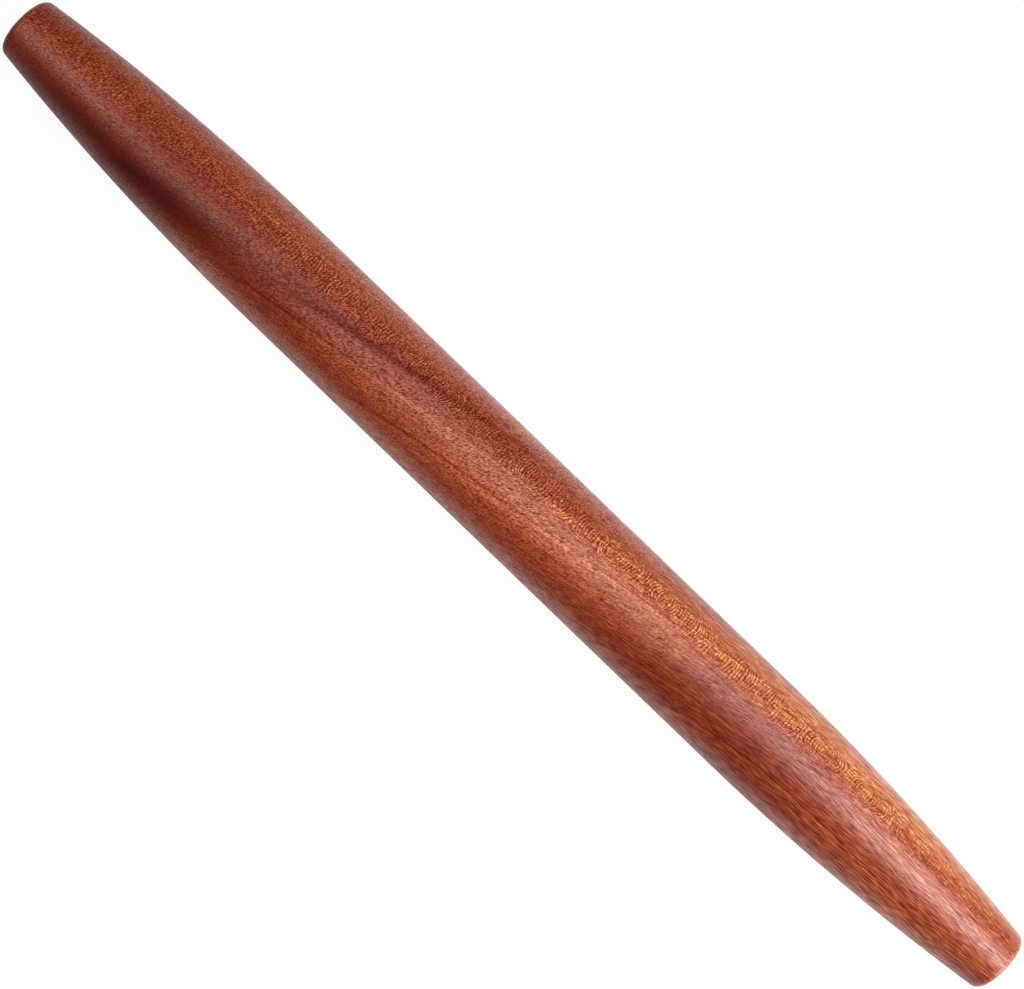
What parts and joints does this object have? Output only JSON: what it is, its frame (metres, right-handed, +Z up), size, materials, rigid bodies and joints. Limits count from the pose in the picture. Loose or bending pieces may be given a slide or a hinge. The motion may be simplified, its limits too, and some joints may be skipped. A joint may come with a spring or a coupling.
{
  "type": "french rolling pin",
  "caption": "Slender one-piece wooden rolling pin without handles: a straight barrel with long curved tapers to flat, round-edged ends, for rolling pastry and dough.",
  "frame": {"origin": "middle of the pin, on its turning axis", "axes": "+X along the turning axis towards the lower right end in the picture, +Z up from the table that it lies on, +Y completes the right-handed frame"},
  "size_m": [0.4, 0.0338, 0.0338],
  "materials": {
    "oiled_hardwood": "satin oiled reddish-brown hardwood with interlocked ribbon grain and fine pores"
  },
  "bodies": {
    "root": {"turned_pin": "oiled_hardwood"}
  },
  "joints": []
}
